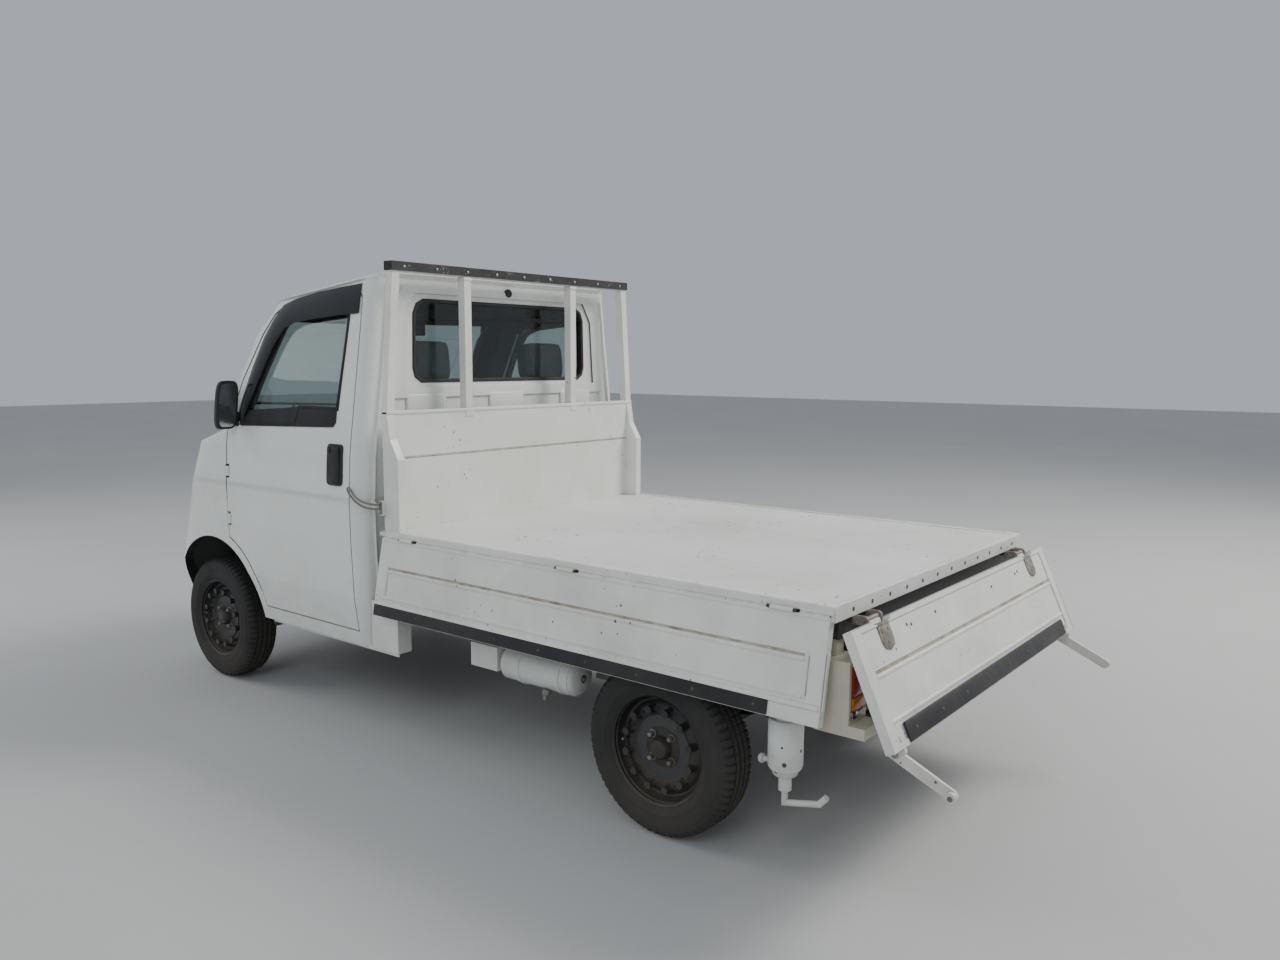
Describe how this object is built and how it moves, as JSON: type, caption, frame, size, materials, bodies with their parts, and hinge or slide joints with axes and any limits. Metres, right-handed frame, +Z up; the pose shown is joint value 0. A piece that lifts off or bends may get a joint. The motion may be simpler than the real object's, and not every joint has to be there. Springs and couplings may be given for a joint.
{
  "type": "kei truck",
  "caption": "Small semi-cab flatbed truck with drop sides and tailgate hanging open, barred headboard, steel wheels and opening doors.",
  "frame": {"origin": "on the ground below the middle of the truck's overall box", "axes": "+X forward, +Y to the truck's left, +Z up"},
  "size_m": [3.6774, 1.628, 1.745],
  "materials": {
    "white_paint": "gloss, dusty",
    "glass": "clear",
    "tyre": "matt",
    "wheel_steel": "satin black",
    "black_plastic": "matt grained",
    "seat_cloth": "woven",
    "lamp_lens": "clear lens",
    "lamp_case": "aged",
    "chassis_black": "dull black",
    "bare_metal": "dull"
  },
  "bodies": {
    "steering_wheel": {"steering_wheel": "black_plastic"},
    "door_left": {"door_left": "white_paint", "door_glass_left": "glass", "door_fittings_left": "black_plastic"},
    "door_right": {"door_right": "white_paint", "door_glass_right": "glass", "door_fittings_right": "black_plastic"},
    "gate_left": {"gate_left": "white_paint"},
    "gate_right": {"gate_right": "white_paint"},
    "tailgate": {"tailgate": "white_paint"},
    "jack_leg": {"jack_leg": "white_paint"},
    "knuckle_left": {"knuckle_left": "chassis_black"},
    "knuckle_right": {"knuckle_right": "chassis_black"},
    "wheel_front_left": {"rim_front_left": "wheel_steel", "tyre_front_left": "tyre"},
    "wheel_front_right": {"rim_front_right": "wheel_steel", "tyre_front_right": "tyre"},
    "wheel_rear_left": {"rim_rear_left": "wheel_steel", "tyre_rear_left": "tyre"},
    "wheel_rear_right": {"rim_rear_right": "wheel_steel", "tyre_rear_right": "tyre"},
    "chassis": {"air_canister": "white_paint", "bed_bearers": "chassis_black", "cab_floor": "white_paint", "cab_front": "white_paint", "cab_glass": "glass", "cab_rear_wall": "white_paint", "cab_roof": "white_paint", "cab_side_left": "white_paint", "cab_side_right": "white_paint", "cross_members": "chassis_black", "dashboard": "black_plastic", "deck": "white_paint", "engine": "bare_metal", "frame_rails": "chassis_black", "front_bumper": "white_paint", "fuel_tank": "chassis_black", "grille": "black_plastic", "headboard": "white_paint", "headboard_guard": "black_plastic", "headlamps": "lamp_lens", "jack_tube": "white_paint", "muffler": "bare_metal", "rear_axle": "chassis_black", "rear_lamps": "lamp_case", "seat_base": "white_paint", "seats": "seat_cloth", "suspension": "chassis_black", "tow_eye": "chassis_black"}
  },
  "joints": [
    {"name": "steering", "type": "hinge", "parent": "chassis", "child": "steering_wheel", "pos_m": [1.14668, -0.33, 0.99], "axis": [-0.6428, 0, 0.766], "range_deg": [-480, 480]},
    {"name": "steer_left", "type": "hinge", "parent": "chassis", "child": "knuckle_left", "pos_m": [1.47568, 0.54, 0.263], "axis": [0, 0, 1], "range_deg": [-32.01, 32.01]},
    {"name": "steer_right", "type": "hinge", "parent": "chassis", "child": "knuckle_right", "pos_m": [1.47568, -0.54, 0.263], "axis": [0, 0, 1], "range_deg": [-32.01, 32.01]},
    {"name": "spin_front_left", "type": "hinge", "parent": "knuckle_left", "child": "wheel_front_left", "pos_m": [1.47568, 0.633, 0.263], "axis": [0, 1, 0], "continuous": true},
    {"name": "spin_front_right", "type": "hinge", "parent": "knuckle_right", "child": "wheel_front_right", "pos_m": [1.47568, -0.633, 0.263], "axis": [0, 1, 0], "continuous": true},
    {"name": "spin_rear_left", "type": "hinge", "parent": "chassis", "child": "wheel_rear_left", "pos_m": [-0.94432, 0.633, 0.263], "axis": [0, 1, 0], "continuous": true},
    {"name": "spin_rear_right", "type": "hinge", "parent": "chassis", "child": "wheel_rear_right", "pos_m": [-0.94432, -0.633, 0.263], "axis": [0, 1, 0], "continuous": true},
    {"name": "door_left_hinge", "type": "hinge", "parent": "chassis", "child": "door_left", "pos_m": [1.29068, 0.738, 0.83], "axis": [0, 0, -1], "range_deg": [0, 62]},
    {"name": "door_right_hinge", "type": "hinge", "parent": "chassis", "child": "door_right", "pos_m": [1.29068, -0.738, 0.83], "axis": [0, 0, 1], "range_deg": [0, 62]},
    {"name": "gate_left_hinge", "type": "hinge", "parent": "chassis", "child": "gate_left", "pos_m": [-0.58032, 0.71, 0.757], "axis": [1, 0, 0], "range_deg": [0, 169.4]},
    {"name": "gate_right_hinge", "type": "hinge", "parent": "chassis", "child": "gate_right", "pos_m": [-0.58032, -0.71, 0.757], "axis": [-1, 0, 0], "range_deg": [0, 169.4]},
    {"name": "tailgate_hinge", "type": "hinge", "parent": "chassis", "child": "tailgate", "pos_m": [-1.54932, 0, 0.7331], "axis": [0, 1, 0], "range_deg": [0, 156.1]},
    {"name": "jack_slide", "type": "slide", "parent": "chassis", "child": "jack_leg", "axis": [0, 0, -1], "range_m": [0, 0.15]}
  ],
  "couplings": [
    {"joint": "steer_left", "follows": "steering", "ratio": 0.066667},
    {"joint": "steer_right", "follows": "steering", "ratio": 0.066667}
  ]
}
